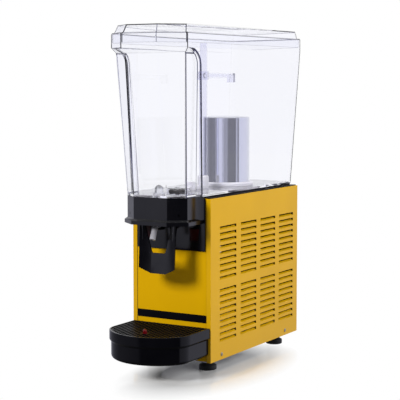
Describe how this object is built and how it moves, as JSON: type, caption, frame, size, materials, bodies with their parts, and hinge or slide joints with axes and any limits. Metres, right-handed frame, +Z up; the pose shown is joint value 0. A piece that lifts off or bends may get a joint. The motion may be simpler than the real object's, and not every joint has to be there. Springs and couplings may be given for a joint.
{
  "type": "cold drink dispenser",
  "caption": "Refrigerated countertop drink dispenser with a clear tank, steel cooling drum, push-lever tap, drip tray and louvred yellow cabinet.",
  "frame": {"origin": "middle of the overall box at the underside of the feet", "axes": "+Z up, -Y towards the user at the tap, +X to the right seen from the front"},
  "size_m": [0.1932, 0.575, 0.7155],
  "materials": {
    "yellow_enamel": "gloss",
    "black_plastic": "gloss",
    "rubber": "matt",
    "clear_plastic": "clear",
    "frosted_plastic": "satin",
    "white_plastic": "satin",
    "red_rocker": "gloss",
    "red_float": "gloss",
    "dark_plastic": "matt",
    "drum_steel": "brushed",
    "zinc_sheet": "satin",
    "plated_steel": "bright",
    "black_enamel": "satin",
    "fin_aluminium": "satin",
    "copper": "satin"
  },
  "bodies": {
    "cabinet": {"base_plate": "zinc_sheet", "side_panel_left": "yellow_enamel", "side_panel_right": "yellow_enamel", "front_panel": "yellow_enamel", "rear_panel": "yellow_enamel", "label_strip": "black_plastic", "top_deck": "black_plastic", "foot_front_left": "rubber", "foot_front_right": "rubber", "foot_rear_left": "rubber", "foot_rear_right": "rubber", "side_screws": "plated_steel", "cable_gland": "black_plastic", "nose_collar": "black_plastic", "switch_panel": "black_plastic", "switch_frame_left": "black_plastic", "switch_frame_right": "black_plastic", "spout": "white_plastic", "lever_pins": "plated_steel", "lever_spring": "plated_steel", "cooling_drum": "drum_steel", "drum_coil": "copper", "pump_motor": "zinc_sheet", "motor_bracket": "zinc_sheet", "compressor": "black_enamel", "compressor_grommets": "rubber", "condenser": "fin_aluminium", "fan_shroud": "zinc_sheet", "fan_motor": "zinc_sheet", "filter_drier": "copper", "discharge_line": "copper", "suction_line": "copper", "liquid_line": "copper", "capillary": "copper", "thermostat": "white_plastic"},
    "tank_unit": {"tank": "clear_plastic", "spigot_seal": "rubber", "drum_seal": "white_plastic", "pump_cover": "clear_plastic", "pump_duct": "white_plastic", "riser_tube": "clear_plastic", "spray_arm": "clear_plastic"},
    "lid_unit": {"lid": "clear_plastic"},
    "tap_piston": {"piston": "frosted_plastic", "piston_seal": "white_plastic"},
    "impeller_unit": {"impeller": "dark_plastic"},
    "magnet_unit": {"drive_magnet": "plated_steel"},
    "lever_unit": {"tap_lever": "black_plastic"},
    "rocker_left_unit": {"rocker_left": "red_rocker"},
    "rocker_right_unit": {"rocker_right": "red_rocker"},
    "tray_unit": {"drip_tray": "black_plastic"},
    "grid_unit": {"drip_grid": "black_plastic"},
    "float_unit": {"float": "red_float"},
    "fan_unit": {"fan_blade": "zinc_sheet"}
  },
  "joints": [
    {"name": "tank_lift", "type": "slide", "parent": "cabinet", "child": "tank_unit", "axis": [0, 0, 1], "range_m": [0, 0.165]},
    {"name": "lid_lift", "type": "slide", "parent": "tank_unit", "child": "lid_unit", "axis": [0, 0, 1], "range_m": [0, 0.06]},
    {"name": "lever_press", "type": "hinge", "parent": "cabinet", "child": "lever_unit", "pos_m": [0, -0.2015, 0.332], "axis": [1, 0, 0], "range_deg": [0, 15.5]},
    {"name": "piston_lift", "type": "slide", "parent": "tank_unit", "child": "tap_piston", "axis": [0, 0, 1], "range_m": [0, 0.0043], "stiffness_N_per_m": 200, "springref_m": -0.002},
    {"name": "magnet_spin", "type": "hinge", "parent": "cabinet", "child": "magnet_unit", "pos_m": [0, -0.1125, 0.355], "axis": [0, 0, 1], "continuous": true},
    {"name": "impeller_spin", "type": "hinge", "parent": "tank_unit", "child": "impeller_unit", "pos_m": [0, -0.1125, 0.375], "axis": [0, 0, 1], "continuous": true},
    {"name": "fan_spin", "type": "hinge", "parent": "cabinet", "child": "fan_unit", "pos_m": [0, -0.0185, 0.118], "axis": [0, 1, 0], "continuous": true},
    {"name": "rocker_left_tip", "type": "hinge", "parent": "cabinet", "child": "rocker_left_unit", "pos_m": [-0.058, -0.139, 0.288], "axis": [1, 0, 0], "range_deg": [-24, 0]},
    {"name": "rocker_right_tip", "type": "hinge", "parent": "cabinet", "child": "rocker_right_unit", "pos_m": [0.058, -0.139, 0.288], "axis": [1, 0, 0], "range_deg": [-24, 0]},
    {"name": "tray_lift", "type": "slide", "parent": "cabinet", "child": "tray_unit", "axis": [0, 0, 1], "range_m": [0, 0.011]},
    {"name": "grid_lift", "type": "slide", "parent": "tray_unit", "child": "grid_unit", "axis": [0, 0, 1], "range_m": [0, 0.04]},
    {"name": "float_rise", "type": "slide", "parent": "tray_unit", "child": "float_unit", "axis": [0, 0, 1], "range_m": [0, 0.025]}
  ],
  "couplings": [
    {"joint": "lever_press", "follows": "piston_lift", "rad_per_m": 56.818},
    {"joint": "impeller_spin", "follows": "magnet_spin", "ratio": 1}
  ]
}
